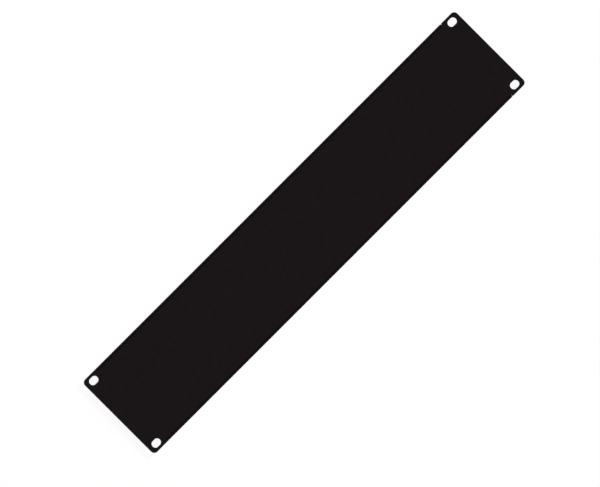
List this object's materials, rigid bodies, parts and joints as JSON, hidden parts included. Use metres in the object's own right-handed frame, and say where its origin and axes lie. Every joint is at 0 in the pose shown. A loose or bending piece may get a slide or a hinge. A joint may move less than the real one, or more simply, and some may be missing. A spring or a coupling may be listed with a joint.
{
  "type": "rack blanking panel",
  "caption": "Flat folded steel blanking panel for a 19-inch equipment rack, two units high, with slotted ears and stiffening flanges, black powder coat.",
  "frame": {"origin": "centre of the rectangle that the panel covers, in the plane of the flanges' free edges, on which it rests", "axes": "+X along the panel's width across the rack, +Y up the panel as it is mounted, +Z out of its front face"},
  "size_m": [0.4826, 0.0882, 0.012],
  "materials": {
    "powder_coat": "near-black satin powder coat with a fine texture, over mild steel sheet"
  },
  "bodies": {
    "root": {"blanking_panel": "powder_coat"}
  },
  "joints": []
}
